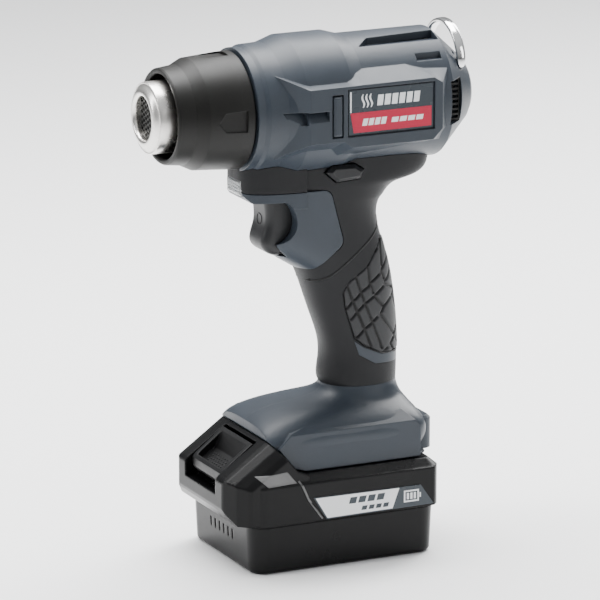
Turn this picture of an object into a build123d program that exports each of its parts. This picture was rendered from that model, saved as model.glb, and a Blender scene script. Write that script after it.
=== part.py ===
from build123d import *
import os
from math import copysign, cos, pi, radians, sin

# Cordless heat gun with a slide-on battery. Millimetres. +Z is up, -X is the nozzle side,
# Y = 0 is the parting plane of the two housing halves. The origin is the middle of the
# battery's underside.

# Barrel, all turned about one axis along X
BARREL_Z = 224.0
BARREL_AXIS = Axis((0, 0, BARREL_Z), (1, 0, 0))
BARREL_FRONT = -42.4
BARREL_REAR = 79.0
BARREL_RADIUS = 32.0
BARREL_BULGE = 34.3
CHAMBER_RADIUS = 28.4
NOZZLE_RADIUS = 17.55
MOUTH_RADIUS = 10.45
NOZZLE_TIP = -90.3
POD_HALF_WIDTH = 36.5

# Handle: height, front, rear, half width and squareness of each level
HANDLE_LEVELS = (
    (82.5, 4.4, 43.2, 16.5, 2.2),
    (96.0, 4.4, 43.6, 16.5, 2.2),
    (108.0, 2.8, 43.3, 16.6, 2.2),
    (123.0, -2.6, 42.0, 17.0, 2.2),
    (142.0, -9.5, 38.5, 17.4, 2.3),
    (156.0, -16.0, 34.2, 17.5, 2.5),
    (167.0, -18.5, 31.7, 17.6, 2.6),
    (176.0, -20.0, 33.8, 17.9, 2.8),
)
GUARD_LEVELS = (
    (143.0, -11.4, 38.4, 17.4, 2.4),
    (150.0, -22.0, 36.2, 17.4, 2.5),
    (157.0, -28.0, 34.0, 17.5, 2.7),
    (167.0, -31.0, 31.7, 17.7, 2.9),
    (176.0, -32.0, 33.8, 18.0, 3.0),
    (186.0, -32.0, 36.0, 18.4, 3.1),
)
SADDLE_LEVELS = (
    (176.0, -20.0, 33.8, 17.9, 2.8),
    (181.0, -22.0, 38.0, 18.2, 3.0),
    (184.0, -22.0, 43.8, 18.4, 3.2),
    (186.0, -22.0, 51.5, 18.5, 3.6),
    (189.0, -22.0, 56.0, 18.5, 4.0),
    (198.0, -22.0, 57.6, 18.5, 4.5),
)
SKIN = 1.8
WALL = 2.5
SADDLE_TOP = 198.0
BROW_FRONT = -42.8

# Foot that carries the battery rails
FOOT_BOTTOM = 48.2
FOOT_LEVELS = (
    (FOOT_BOTTOM, -41.0, 51.0, 32.0, 6.0),
    (60.0, -41.0, 51.6, 32.2, 6.0),
    (66.0, -39.5, 50.4, 31.6, 5.0),
    (70.0, -35.0, 48.2, 28.4, 4.0),
    (73.0, -27.0, 46.4, 24.4, 3.2),
    (75.2, -13.0, 45.2, 20.8, 2.7),
    (77.6, -0.5, 44.2, 18.4, 2.4),
    (80.4, 3.8, 43.5, 17.0, 2.2),
    (82.5, 4.4, 43.2, 16.5, 2.2),
)
FOOT_HALF_WIDTH = 32.2
FOOT_FLANK = (
    (-23.2, FOOT_BOTTOM),
    (-33.4, 60.7),
    (-26.6, 67.4),
    (-10.0, 71.2),
    (36.4, 71.2),
    (43.4, 64.0),
    (43.4, FOOT_BOTTOM),
)
FOOT_NOSE = ((-37.2, 66.6), (-37.2, 64.3), (-25.2, 50.2), (-18.6, FOOT_BOTTOM))

# Battery
TUB_LENGTH = 97.4
TUB_WIDTH = 74.6
TUB_HEIGHT = 24.0
TUB_DRAFT = 2.8
CASE_FRONT = -50.0
CASE_REAR = 52.0
CASE_HALF_WIDTH = 38.9
CASE_SHOULDER = 43.7
DECK = 47.7
NOSE_FRONT = -61.0
NOSE_EDGE = 46.2
NOSE_ANGLE = 35.0
RAIL_HEAD_BOTTOM = 51.4
RAIL_HEAD_TOP = 56.9
RAIL_HEAD_HALF = 24.6
RAIL_NECK_HALF = 21.2
RAIL_END = 44.0
FIT = 0.4
CELL_RADIUS = 9.1
CELL_LENGTH = 64.0
CELL_PITCH = 18.3
CELL_ROWS = (12.0, 30.4)

# Moving parts
TRIGGER_HALF_WIDTH = 10.0
TRIGGER_FLOOR = 151.2
WELL_HALF_WIDTH = 10.5
HOOK_X = 71.0
HOOK_Z = 239.5
HOOK_OUTER = 19.5
HOOK_INNER = 17.0
HOOK_WIDTH = 4.8
PIN_RADIUS = 1.6
PIN_CLEARANCE = 0.06

# Fasteners: x and z of each housing screw, and how deep its head sits from the middle
SCREWS = (
    (-30.0, 188.5, 13.0),
    (48.0, 192.5, 13.0),
    (72.0, 214.0, 11.0),
    (72.0, 230.5, 11.0),
    (29.0, 138.0, 9.5),
    (33.0, 100.0, 9.5),
    (-27.0, 63.0, 22.0),
    (44.0, 70.0, 17.0),
)
SCREW_RADIUS = 1.5
SCREW_HEAD_RADIUS = 2.9
SCREW_HEAD_HEIGHT = 2.4

os.makedirs("parts", exist_ok=True)


def save(builder, name):
    """Labels a finished piece and writes its STEP file."""
    builder.part.label = name
    export_step(builder.part, f"parts/{name}.step")


def slab(x0, x1, y0, y1, z0, z1):
    """A block between two corners."""
    with BuildPart() as block:
        with BuildSketch(Plane.XY.offset(z0)):
            with Locations(((x0 + x1) / 2, (y0 + y1) / 2)):
                Rectangle(x1 - x0, y1 - y0)
        extrude(amount=z1 - z0)
    return block.part


def side_prism(points, y0, y1):
    """Extrudes an outline given as (x, z) from y0 to y1."""
    with BuildPart() as prism:
        with BuildSketch(Plane.XZ.offset(-y1)):
            with BuildLine():
                Polyline(*points, close=True)
            make_face()
        extrude(amount=y1 - y0)
    return prism.part


def cross_rod(x, z, radius, y0, y1):
    """A round bar along Y."""
    with BuildPart() as rod:
        with BuildSketch(Plane.XZ.offset(-y1)):
            with Locations((x, z)):
                Circle(radius)
        extrude(amount=y1 - y0)
    return rod.part


def turned(profile):
    """Turns an outline given as (x, radius) about the barrel's axis."""
    with BuildPart() as solid:
        with BuildSketch(Plane.XZ):
            with BuildLine():
                Polyline(*[(x, BARREL_Z + radius) for x, radius in profile], close=True)
            make_face()
        revolve(axis=BARREL_AXIS)
    return solid.part


def ring_points(front, rear, half_width, power, count=24):
    """Points round a superellipse that spans front to rear in X and is symmetric in Y."""
    points = []
    for step in range(count):
        along = cos(2 * pi * step / count)
        across = sin(2 * pi * step / count)
        x = (front + rear) / 2 + (rear - front) / 2 * copysign(abs(along) ** (2 / power), along)
        points.append((x, half_width * copysign(abs(across) ** (2 / power), across)))
    return points


def lofted(levels, inset=0.0):
    """A column through superellipse levels, drawn in by inset all round."""
    with BuildPart() as column:
        for height, front, rear, half_width, power in levels:
            with BuildSketch(Plane.XY.offset(height)):
                points = ring_points(front + inset, rear - inset, half_width - inset, power)
                with BuildLine():
                    Spline(*points, periodic=True)
                make_face()
        loft()
    return column.part


def mirrored_pair(solid):
    """A solid and its mirror image across the parting plane."""
    with BuildPart() as pair:
        add(solid)
        mirror(about=Plane.XZ)
    return pair.part


def screw_tools(radius, head_radius, start, head_top):
    """The housing screws, or the holes for them."""
    tools = []
    for x, z, seat in SCREWS:
        with BuildPart() as screw:
            add(cross_rod(x, z, radius, start, seat + 0.1))
            add(cross_rod(x, z, head_radius, seat, seat + head_top))
        tools.append(screw.part)
    return tools


# ---------------------------------------------------------------- outer shapes

def barrel_shape():
    """Barrel with its bulge, its bevelled back and the raised pods at both sides."""
    body = turned(
        (
            (BARREL_FRONT, 0),
            (BARREL_FRONT, 29.9),
            (-38.5, 29.9),
            (-36.5, 31.0),
            (-27.0, 31.3),
            (-17.5, BARREL_BULGE),
            (6.0, BARREL_BULGE),
            (14.0, BARREL_RADIUS),
            (60.5, BARREL_RADIUS),
            (77.0, 17.2),
            (BARREL_REAR, 14.4),
            (BARREL_REAR, 0),
        )
    )
    face = (
        (-18.4, 237.8),
        (-16.0, 237.9),
        (3.0, 238.0),
        (9.0, 238.1),
        (37.0, 238.3),
        (47.5, 238.4),
        (52.0, 235.5),
        (52.0, 213.0),
        (47.0, 208.0),
        (4.0, 208.0),
        (-0.5, 211.2),
        (-18.4, 211.2),
    )
    root = (
        (-32.0, 243.9),
        (-17.0, 240.0),
        (3.0, 240.0),
        (9.3, 244.3),
        (37.0, 244.4),
        (46.0, 242.2),
        (61.5, 242.4),
        (61.5, 212.0),
        (57.0, 205.0),
        (-1.0, 201.0),
        (-8.0, 203.2),
        (-32.0, 203.3),
    )
    with BuildPart() as pod:
        for outline, depth in ((root, 24.0), (face, POD_HALF_WIDTH)):
            with BuildSketch(Plane.XZ.offset(depth)):
                with BuildLine():
                    Polyline(*outline, close=True)
                make_face()
        loft(ruled=True)
    with BuildPart() as shape:
        add(body)
        add(mirrored_pair(pod.part))
    return shape.part


def brow_shape(inset=0.0):
    """Block above the trigger that holds the lamp, rounded in plan."""
    outline = (
        (BROW_FRONT + inset, SADDLE_TOP - inset),
        (BROW_FRONT + inset, 189.0),
        (BROW_FRONT + 1.3 + inset, 182.5),
        (-38.0 + inset, 179.0 + inset),
        (-30.0, 176.4 + inset),
        (-12.0, 175.6 + inset),
        (-12.0, SADDLE_TOP - inset),
    )
    block = side_prism(outline, -30, 30)
    plan = lofted(((170.0, BROW_FRONT, 50.0, 19.0, 3.4), (205.0, BROW_FRONT, 50.0, 19.0, 3.4)), inset)
    with BuildPart() as brow:
        add(block)
        add(plan, mode=Mode.INTERSECT)
    return brow.part


def handle_shape(inset=0.0):
    """Handle, saddle and brow in one, drawn in by inset."""
    pieces = (lofted(HANDLE_LEVELS, inset), lofted(SADDLE_LEVELS, inset), brow_shape(inset))
    with BuildPart() as handle:
        for piece in pieces:
            add(piece)
    return handle.part


def cheek_region(gap=0.0):
    """Side outline of the bare panel round the trigger, through the whole handle."""
    with BuildPart() as region:
        with BuildSketch(Plane.XZ):
            with BuildLine():
                FilletPolyline(
                    (-70.0, 184.4),
                    (0.8, 183.6),
                    (8.6, 156.0),
                    (-6.5, 143.6),
                    (-70.0, 143.2),
                    radius=5.0,
                    close=True,
                )
            make_face()
            if gap:
                offset(amount=gap)
        extrude(amount=40, both=True)
    return region.part


def foot_shape():
    """Foot with its slanted front and the block at its back."""
    ahead = (*FOOT_NOSE, (-18.6, 40.0), (-60.0, 40.0), (-60.0, 90.0), (-37.2, 90.0))
    front_cut = side_prism(ahead, -50, 50)
    column = lofted(FOOT_LEVELS)
    with BuildPart() as block:
        with BuildSketch(Plane.XY.offset(48.8)):
            with Locations((45.0, 0)):
                RectangleRounded(20.0, 46.0, 5.0)
        extrude(amount=16.4)
        chamfer(block.edges().group_by(Axis.Z)[-1], 1.5)
    roof = [(FOOT_HALF_WIDTH, FOOT_BOTTOM), (FOOT_HALF_WIDTH, 66.8), (25.5, 71.2)]
    roof += [(-y, z) for y, z in reversed(roof)]
    with BuildPart() as flanks:
        with BuildSketch(Plane.YZ.offset(-40)):
            with BuildLine():
                Polyline(*roof, close=True)
            make_face()
        extrude(amount=90)
        add(side_prism(FOOT_FLANK, -40, 40), mode=Mode.INTERSECT)
    with BuildPart() as foot:
        add(column)
        add(flanks.part)
        add(block.part)
        add(front_cut, mode=Mode.SUBTRACT)
    return foot.part


BARREL = barrel_shape()
HANDLE_OUTSIDE = handle_shape()
HANDLE_CORE = handle_shape(SKIN)


# ---------------------------------------------------------------- housing

def groove_cut(x0, x1, bottom, edge):
    """Groove with a level upper face and a slanting lower one, ending in a point in front."""
    with BuildPart() as groove:
        with BuildSketch(Plane.YZ.offset(x0)):
            with BuildLine():
                Polyline((42.0, 227.4), (bottom, 226.6), (edge, 220.6), (42.0, 220.6), close=True)
            make_face()
        extrude(amount=x1 - x0)
        add(side_prism(((-60, 210), (-31.0, 210), (-26.0, 220.6), (-31.0, 227.4), (-60, 240)), 0, 60),
            mode=Mode.SUBTRACT)
    return groove.part


def barrel_cuts():
    """Panels, grooves, slots and vents of the barrel, for both sides."""
    label_recess = slab(1.2, 47.8, 35.0, 40, 213.2, 236.7)
    bar_slot = slab(-7.0, -1.1, 33.6, 40, 213.4, 234.4)
    groove = groove_cut(-19.5, -8.6, 32.6, 37.6)
    groove_front = groove_cut(-33.0, -19.0, 29.7, 33.2)
    vent = slab(59.4, 68.0, 20.6, 40, 212.6, 234.2)
    trough = [
        (17.0, -15.2),
        (24.0, -9.0),
        (60.0, -7.0),
        (60.0, -15.2),
    ]
    with BuildPart() as top_cut:
        with BuildSketch(Plane.XY.offset(251.2)):
            with BuildLine():
                Polyline(*[(x, -y) for x, y in trough], close=True)
            make_face()
        extrude(amount=10)
    top_slot = slab(44.0, 57.4, 21.6, 26.5, 244.4, 250.0)
    hook_slot = slab(HOOK_X - HOOK_WIDTH / 2 - 0.4, 90, 16.3, 20.3, 236.8, 249.5)
    hook_notch = slab(HOOK_X - HOOK_WIDTH / 2 - 0.4, 90, 12.0, 17.0, 243.6, 260.0)
    hook_bore = cross_rod(HOOK_X, HOOK_Z, PIN_RADIUS + PIN_CLEARANCE, 11.6, 17)
    cuts = [label_recess, bar_slot, groove, groove_front, vent, top_cut.part, top_slot]
    cuts += [hook_slot, hook_notch, hook_bore]
    return [mirrored_pair(cut) for cut in cuts]


def trigger_well():
    """Opening in which the trigger slides."""
    return slab(-60, -3, -WELL_HALF_WIDTH, WELL_HALF_WIDTH, TRIGGER_FLOOR - 0.4, 179.2)


def cheek_front():
    """Rounded front edge of the two cheeks beside the trigger."""
    with BuildPart() as cut:
        with BuildSketch(Plane.XZ):
            with BuildLine():
                Polyline((-22.0, 179.6), (-60.0, 179.6), (-60.0, 156.2), (-28.6, 156.2))
                Spline(
                    (-28.6, 156.2),
                    (-23.8, 157.6),
                    (-19.0, 160.8),
                    (-16.4, 166.0),
                    (-17.2, 173.4),
                    (-22.0, 179.6),
                )
            make_face()
        extrude(amount=40, both=True)
    return cut.part


def guard_shape():
    """Cheeks beside the trigger and the chin below it, before the front is cut back."""
    outline = (
        (-29.4, 158.0),
        (-28.0, 153.6),
        (-21.8, 149.7),
        (-17.8, 146.7),
        (-12.0, 143.2),
        (6.0, 143.2),
        (6.0, 186.0),
        (-32.0, 186.0),
    )
    with BuildPart() as guard:
        add(lofted(GUARD_LEVELS))
        add(side_prism(outline, -30, 30), mode=Mode.INTERSECT)
    return guard.part


LOCK_OUTLINE = ((-2.3, 192.6), (1.4, 196.0), (13.1, 195.6), (18.0, 192.4), (16.0, 188.2), (3.6, 187.4))


def lock_pocket():
    """Room for the lock button's head at one side."""
    with BuildPart() as pocket:
        with BuildSketch(Plane.XZ.offset(-60)):
            with BuildLine():
                Polyline(*LOCK_OUTLINE, close=True)
            make_face()
            offset(amount=0.5, kind=Kind.INTERSECTION)
        extrude(amount=60 - 11.7)
    return pocket.part


def lock_passage():
    """Pockets at both sides for the lock button, and the slot that joins them."""
    return [mirrored_pair(lock_pocket()), slab(3.6, 12.6, -20, 20, 187.4, 192.6)]


def housing_shape():
    """Both halves of the housing in one, hollowed."""
    with BuildPart() as panel:
        add(HANDLE_OUTSIDE)
        add(guard_shape())
        add(cheek_region(), mode=Mode.INTERSECT)
    chamber = turned(
        (
            (-38.0, 0),
            (-38.0, CHAMBER_RADIUS),
            (58.0, CHAMBER_RADIUS),
            (68.5, 19.0),
            (68.5, 0),
        )
    )
    front_bore = turned(((-50.0, 0), (-50.0, 21.2), (-37.0, 21.2), (-37.0, 0)))
    grip_hollow = lofted(HANDLE_LEVELS, SKIN + WALL)
    wire_shaft = slab(15.5, 27.0, -6, 6, 170, 200)
    foot_throat = slab(12.0, 34.0, -9, 9, 60, 84)
    bay = slab(-18.0, 36.0, -23, 23, 59.8, 68.0)
    block_window = slab(2.6, 41.4, -16, 16, 56, 60)
    neck = slab(-60, RAIL_END + 0.6, -RAIL_NECK_HALF - FIT, RAIL_NECK_HALF + FIT, 40, 52)
    head_half = RAIL_HEAD_HALF + FIT
    head = slab(-60, RAIL_END + 0.6, -head_half, head_half, RAIL_HEAD_BOTTOM - 0.3, RAIL_HEAD_TOP + 0.5)
    lamp = slab(-60, -33.5, -7.8, 7.8, 182.0, 190.0)
    board_slot = slab(-37.0, -33.5, -9.0, 9.0, 181.0, 191.0)
    lamp_wire = slab(-34.0, -9.0, -2.0, 2.0, 183.0, 187.0)
    wire_drop = slab(-12.0, -6.0, -2.0, 2.0, 172.0, 187.0)
    bosses = []
    for x, z, _ in SCREWS[4:6]:
        bosses.append(cross_rod(x, z, 3.6, -12, 12))
    cuts = [chamber, front_bore, grip_hollow, wire_shaft, foot_throat, bay, block_window, neck, head, lamp]
    cuts += [board_slot, lamp_wire, wire_drop]
    openings = [trigger_well(), *lock_passage(), *barrel_cuts()]
    openings += screw_tools(SCREW_RADIUS + 0.05, SCREW_HEAD_RADIUS + 0.3, -8.0, 30.0)
    with BuildPart() as shape:
        add([HANDLE_CORE, panel.part, foot_shape()])
        add(cheek_front(), mode=Mode.SUBTRACT)
        add(BARREL)
        add(cuts, mode=Mode.SUBTRACT)
        add(bosses)
        add(openings, mode=Mode.SUBTRACT)
    return shape.part


HOUSING = housing_shape()

with BuildPart() as housing_left:
    add(HOUSING)
    split(bisect_by=Plane.XZ, keep=Keep.TOP)
save(housing_left, "housing_left")

with BuildPart() as housing_right:
    add(HOUSING)
    split(bisect_by=Plane.XZ, keep=Keep.BOTTOM)
save(housing_right, "housing_right")


# ---------------------------------------------------------------- grip covers and trim

PAD_OUTLINE = (
    (70.0, 163.0),
    (30.0, 155.0),
    (21.0, 143.0),
    (10.8, 136.0),
    (8.4, 130.5),
    (9.6, 123.0),
    (14.8, 107.0),
    (20.0, 102.6),
    (30.0, 98.2),
    (70.0, 97.0),
)
TRIM_OUTLINE = (
    (15.2, 105.4),
    (17.6, 98.4),
    (26.0, 93.4),
    (70.0, 90.4),
    (70.0, 96.4),
    (30.0, 97.6),
    (20.0, 102.0),
)
PAD_SEAT = 1.0
PAD_SINK = 0.95
PAD_LIFT = 0.25


def pad_region():
    """Side outline of the textured pad at the back of the handle."""
    with BuildPart() as region:
        with BuildSketch(Plane.XZ):
            with BuildLine():
                Polyline(*PAD_OUTLINE, close=True)
            make_face()
        extrude(amount=40, both=True)
    return region.part


def trim_region():
    """Side outline of the pale strip under the pad."""
    return side_prism(TRIM_OUTLINE, -40, 40)


def cover_shape():
    """Soft cover over the handle, saddle and brow, open at the cheeks and the pad."""
    pad_floor = lofted(HANDLE_LEVELS, PAD_SEAT)
    with BuildPart() as sunk:
        add(pad_region())
        add(trim_region())
        add(pad_floor, mode=Mode.SUBTRACT)
    lamp = slab(-60, -33.5, -7.8, 7.8, 182.0, 190.0)
    openings = [cheek_region(0.35), sunk.part, lamp, *lock_passage()]
    openings += screw_tools(SCREW_RADIUS + 0.05, SCREW_HEAD_RADIUS + 0.3, 0.0, 30.0)
    with BuildPart() as cover:
        add(HANDLE_OUTSIDE)
        add([HANDLE_CORE, BARREL], mode=Mode.SUBTRACT)
        add(openings, mode=Mode.SUBTRACT)
    return cover.part


def skin_patch(region, lift):
    """Part of the handle's skin inside a region, standing proud by lift."""
    with BuildPart() as patch:
        add(lofted(HANDLE_LEVELS, -lift))
        add(lofted(HANDLE_LEVELS, PAD_SINK), mode=Mode.SUBTRACT)
        add(region, mode=Mode.INTERSECT)
    return patch.part


COVER = cover_shape()
PAD = skin_patch(pad_region(), PAD_LIFT)
TRIM = skin_patch(trim_region(), 0.0)

with BuildPart() as grip_cover_left:
    add(COVER)
    split(bisect_by=Plane.XZ, keep=Keep.TOP)
save(grip_cover_left, "grip_cover_left")

with BuildPart() as grip_cover_right:
    add(COVER)
    split(bisect_by=Plane.XZ, keep=Keep.BOTTOM)
save(grip_cover_right, "grip_cover_right")

with BuildPart() as grip_pad_left:
    add(PAD)
    split(bisect_by=Plane.XZ, keep=Keep.TOP)
save(grip_pad_left, "grip_pad_left")

with BuildPart() as grip_pad_right:
    add(PAD)
    split(bisect_by=Plane.XZ, keep=Keep.BOTTOM)
save(grip_pad_right, "grip_pad_right")

with BuildPart() as grip_trim_left:
    add(TRIM)
    split(bisect_by=Plane.XZ, keep=Keep.TOP)
save(grip_trim_left, "grip_trim_left")

with BuildPart() as grip_trim_right:
    add(TRIM)
    split(bisect_by=Plane.XZ, keep=Keep.BOTTOM)
save(grip_trim_right, "grip_trim_right")

with BuildPart() as label_plate_left:
    add(slab(2.0, 47.0, -35.7, -35.0, 214.0, 235.9))
save(label_plate_left, "label_plate_left")

with BuildPart() as label_plate_right:
    add(slab(2.0, 47.0, 35.0, 35.7, 214.0, 235.9))
save(label_plate_right, "label_plate_right")

with BuildPart() as side_bars:
    with BuildPart(mode=Mode.PRIVATE) as bar:
        add(slab(-6.4, -1.9, 33.6, 37.5, 214.2, 233.6))
        chamfer(bar.faces().sort_by(Axis.Y)[-1].edges(), 0.8)
    add(mirrored_pair(bar.part))
save(side_bars, "side_bars")

with BuildPart() as housing_screws:
    for tool in screw_tools(SCREW_RADIUS, SCREW_HEAD_RADIUS, -7.6, SCREW_HEAD_HEIGHT):
        add(tool)
save(housing_screws, "housing_screws")


# ---------------------------------------------------------------- hot end

def nozzle_outline():
    """Half section of the nozzle: rolled lip, throat, tube and captured flange."""
    with BuildSketch(Plane.XZ) as section:
        with BuildLine():
            Spline(
                (-88.4, BARREL_Z + MOUTH_RADIUS),
                (NOZZLE_TIP, BARREL_Z + 13.4),
                (-88.2, BARREL_Z + 16.2),
                (-82.0, BARREL_Z + NOZZLE_RADIUS),
                tangents=((-1, 0), (1, 0)),
            )
            Polyline(
                (-82.0, BARREL_Z + NOZZLE_RADIUS),
                (-35.4, BARREL_Z + NOZZLE_RADIUS),
                (-35.4, BARREL_Z + 24.8),
                (-34.0, BARREL_Z + 24.8),
                (-34.0, BARREL_Z + 16.5),
                (-73.0, BARREL_Z + 16.5),
                (-79.0, BARREL_Z + MOUTH_RADIUS),
                (-88.4, BARREL_Z + MOUTH_RADIUS),
            )
        make_face()
    return section.sketch


with BuildPart() as nozzle:
    add(nozzle_outline())
    revolve(axis=BARREL_AXIS)
save(nozzle, "nozzle")

with BuildPart() as nozzle_grille:
    with BuildSketch(Plane(origin=(-87.2, 0, BARREL_Z), x_dir=(0, 1, 0), z_dir=(1, 0, 0))):
        Circle(MOUTH_RADIUS)
        with HexLocations(1.35, 7, 7):
            RegularPolygon(1.05, 6, mode=Mode.SUBTRACT)
    extrude(amount=0.9)
save(nozzle_grille, "nozzle_grille")

with BuildPart() as mica_sleeve:
    add(turned(((-71.0, 15.4), (-71.0, 16.3), (-34.5, 16.3), (-34.5, 15.4))))
save(mica_sleeve, "mica_sleeve")

with BuildPart() as heater_former:
    with BuildSketch(Plane.YZ.offset(-70.0)):
        with Locations((0, BARREL_Z)):
            Rectangle(21.0, 1.2, rotation=45)
            Rectangle(21.0, 1.2, rotation=-45)
    extrude(amount=34.0)
save(heater_former, "heater_former")

with BuildPart() as heater_coil:
    for turn in range(9):
        x = -67.5 + 3.6 * turn
        add(turned(((x, 11.2), (x, 12.6), (x + 1.3, 12.6), (x + 1.3, 11.2))))
save(heater_coil, "heater_coil")

with BuildPart() as air_funnel:
    add(
        turned(
            (
                (-33.6, 15.2),
                (-33.6, 16.4),
                (-28.0, 17.6),
                (-4.0, 27.2),
                (1.0, 28.1),
                (1.0, 26.8),
                (-4.0, 25.9),
                (-27.6, 16.4),
            )
        )
    )
save(air_funnel, "air_funnel")

COLLAR_RADIUS = 25.4
LUG_FRONT = -57.0
LUG_REAR = -54.4
LUG_COUNT = 3

with BuildPart() as shroud_collar:
    add(
        turned(
            (
                (-62.0, 22.6),
                (-62.0, COLLAR_RADIUS),
                (BARREL_FRONT - 0.1, COLLAR_RADIUS),
                (BARREL_FRONT - 0.1, 21.1),
                (-37.8, 21.1),
                (-37.8, 25.0),
                (-35.6, 25.0),
                (-35.6, 18.6),
                (-45.5, 18.6),
                (-45.5, 22.6),
            )
        )
    )
    groove = turned(
        (
            (LUG_FRONT - 0.4, COLLAR_RADIUS - 1.4),
            (LUG_FRONT - 0.4, 30.0),
            (LUG_REAR + 0.4, 30.0),
            (LUG_REAR + 0.4, COLLAR_RADIUS - 1.4),
        )
    )
    add(groove, mode=Mode.SUBTRACT)
save(shroud_collar, "shroud_collar")


def grip_notch():
    """Pointed notch near the back edge of the shroud, at its top."""
    with BuildPart() as notch:
        with BuildSketch(Plane.XY.offset(BARREL_Z + 27.1)):
            with BuildLine():
                Polyline((-62.0, 0), (-58.5, 4.6), (-47.5, 5.2), (-47.5, -5.2), (-58.5, -4.6), close=True)
            make_face()
        extrude(amount=10)
    return notch.part


def bayonet_lug():
    """One inward lug of the shroud."""
    with BuildPart() as lug:
        with BuildSketch(Plane.XY.offset(BARREL_Z + COLLAR_RADIUS - 1.0)):
            with Locations(((LUG_FRONT + LUG_REAR) / 2, 0)):
                Rectangle(LUG_REAR - LUG_FRONT, 6.0)
        extrude(amount=2.0)
    return lug.part


with BuildPart() as front_shroud:
    add(
        turned(
            (
                (-80.4, 20.6),
                (-81.2, 21.4),
                (-81.2, 22.7),
                (-80.2, 23.4),
                (-72.3, 24.3),
                (-66.4, 27.2),
                (-50.0, 28.4),
                (-43.8, 28.6),
                (-43.8, COLLAR_RADIUS + 0.35),
                (-64.3, COLLAR_RADIUS + 0.35),
                (-68.0, 22.4),
                (-78.6, 21.8),
                (-79.2, 20.6),
            )
        )
    )
    for quarter in range(4):
        add(grip_notch().rotate(BARREL_AXIS, 90 * quarter), mode=Mode.SUBTRACT)
    for third in range(LUG_COUNT):
        add(bayonet_lug().rotate(BARREL_AXIS, 360 / LUG_COUNT * third))
save(front_shroud, "front_shroud")


# ---------------------------------------------------------------- fan, motor and hook

FAN_FRONT = 4.0
FAN_REAR = 14.0
BLADE_COUNT = 9
SHAFT_RADIUS = 1.6

with BuildPart() as fan_duct:
    add(turned(((1.4, 26.8), (1.4, 28.2), (54.0, 28.2), (54.0, 26.8))))
    add(turned(((26.0, 14.2), (26.0, 15.8), (50.0, 15.8), (50.0, 14.2))))
    for spoke in range(5):
        web = slab(30.0, 46.0, -0.9, 0.9, BARREL_Z + 15.6, BARREL_Z + 27.0)
        add(web.rotate(BARREL_AXIS, 72 * spoke + 36))
save(fan_duct, "fan_duct")

with BuildPart() as fan_motor:
    add(
        turned(
            (
                (22.0, SHAFT_RADIUS + 0.1),
                (22.0, 5.0),
                (23.6, 5.0),
                (23.6, 14.1),
                (52.0, 14.1),
                (52.0, 7.5),
                (54.5, 7.5),
                (54.5, SHAFT_RADIUS + 0.1),
            )
        )
    )
save(fan_motor, "fan_motor")

with BuildPart() as impeller:
    add(
        turned(
            (
                (FAN_FRONT, 0),
                (FAN_FRONT, 5.0),
                (6.5, 8.0),
                (FAN_REAR, 8.0),
                (FAN_REAR, SHAFT_RADIUS),
                (53.0, SHAFT_RADIUS),
                (53.0, 0),
            )
        )
    )
    for blade in range(BLADE_COUNT):
        with BuildPart(mode=Mode.PRIVATE) as vane:
            with BuildSketch(Plane.XY.offset(BARREL_Z + 7.0)):
                with Locations(((FAN_FRONT + FAN_REAR) / 2 + 0.5, 0)):
                    Rectangle(9.5, 1.3, rotation=38)
            extrude(amount=18.4)
        add(vane.part.rotate(BARREL_AXIS, 360 / BLADE_COUNT * blade))
save(impeller, "impeller")

with BuildPart() as intake_screens:
    screen = slab(59.6, 67.8, 22.0, 23.0, 212.8, 234.0)
    for bar in range(8):
        with BuildPart(mode=Mode.PRIVATE) as opening:
            with BuildSketch(Plane.XZ.offset(-26)):
                with Locations((63.7, 214.8 + 2.5 * bar)):
                    Rectangle(6.8, 1.5)
            extrude(amount=10)
        screen = screen - opening.part
    add(mirrored_pair(screen))
save(intake_screens, "intake_screens")

with BuildPart() as hanging_hook:
    with BuildSketch(Plane.YZ.offset(HOOK_X - HOOK_WIDTH / 2)):
        with Locations((0, HOOK_Z)):
            Circle(HOOK_OUTER)
            Circle(HOOK_INNER, mode=Mode.SUBTRACT)
        with Locations((0, HOOK_Z - 30)):
            Rectangle(60, 60, mode=Mode.SUBTRACT)
    extrude(amount=HOOK_WIDTH)
    eye = cross_rod(HOOK_X, HOOK_Z, HOOK_WIDTH / 2, HOOK_INNER, HOOK_OUTER)
    pin = cross_rod(HOOK_X, HOOK_Z, PIN_RADIUS, 12.0, HOOK_INNER + 1)
    add(mirrored_pair(eye))
    add(mirrored_pair(pin))
save(hanging_hook, "hanging_hook")


# ---------------------------------------------------------------- handle internals and controls

PLUNGER_RADIUS = 2.5
TRIGGER_BACK = -13.0
SWITCH_FRONT = -3.0

with BuildPart() as trigger:
    with BuildSketch(Plane.XZ):
        with BuildLine():
            Spline(
                (-29.6, 178.4),
                (-28.9, 173.0),
                (-28.9, 167.0),
                (-30.6, 161.0),
                (-30.9, 156.6),
                (-28.2, 153.0),
                (-22.6, TRIGGER_FLOOR),
            )
            Polyline(
                (-22.6, TRIGGER_FLOOR),
                (TRIGGER_BACK, TRIGGER_FLOOR),
                (TRIGGER_BACK, 178.6),
                (-29.6, 178.4),
            )
        make_face()
    extrude(amount=TRIGGER_HALF_WIDTH, both=True)
    front_edges = trigger.edges().filter_by(GeomType.BSPLINE)
    fillet(front_edges, 4.0)
    with BuildSketch(Plane.YZ.offset(TRIGGER_BACK)):
        with Locations((0, 165.0)):
            Circle(PLUNGER_RADIUS)
    extrude(amount=SWITCH_FRONT - TRIGGER_BACK + 1.5)
save(trigger, "trigger")

with BuildPart() as trigger_spring:
    for turn in range(4):
        with BuildSketch(Plane.YZ.offset(TRIGGER_BACK + 0.3 + 2.4 * turn)):
            with Locations((0, 165.0)):
                Circle(4.4)
                Circle(3.4, mode=Mode.SUBTRACT)
        extrude(amount=1.0)
save(trigger_spring, "trigger_spring")

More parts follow.
